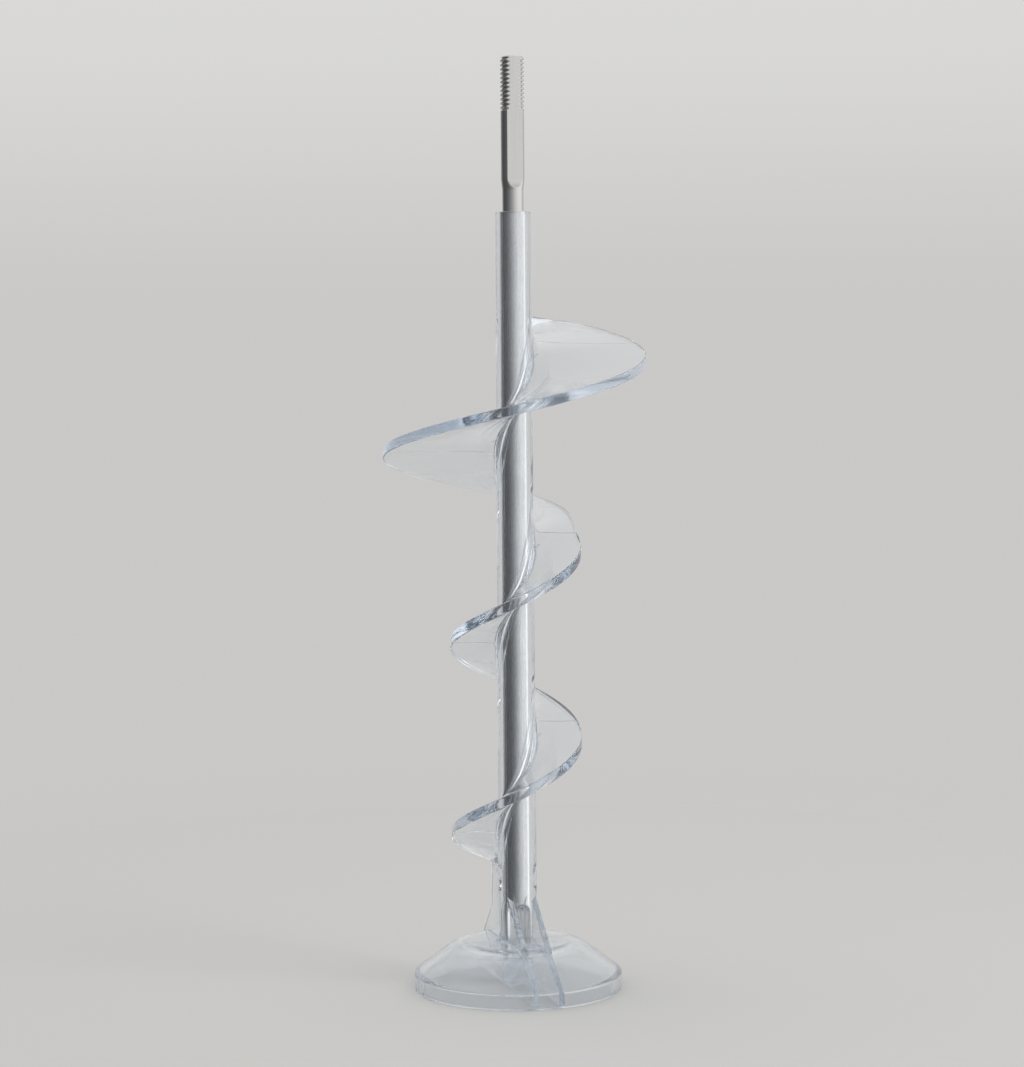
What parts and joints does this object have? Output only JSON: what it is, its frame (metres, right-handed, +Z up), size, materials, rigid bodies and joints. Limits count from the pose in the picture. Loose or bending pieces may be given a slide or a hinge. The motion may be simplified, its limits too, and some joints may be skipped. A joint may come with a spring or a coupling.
{
  "type": "ice maker auger",
  "caption": "Clear plastic screw auger on a steel shaft: narrow helical flight widening into one broad turn, dished foot flange, flatted and threaded drive end; feeds ice.",
  "frame": {"origin": "centre of the foot's underside, on the shaft's axis", "axes": "+Z up the shaft towards its threaded end, the shaft's flats face -Y and +Y"},
  "size_m": [0.1, 0.1, 0.354],
  "materials": {
    "shaft_steel": "bright drawn",
    "clear_plastic": "clear, polished"
  },
  "bodies": {
    "root": {"drive_shaft": "shaft_steel", "auger_body": "clear_plastic"}
  },
  "joints": []
}
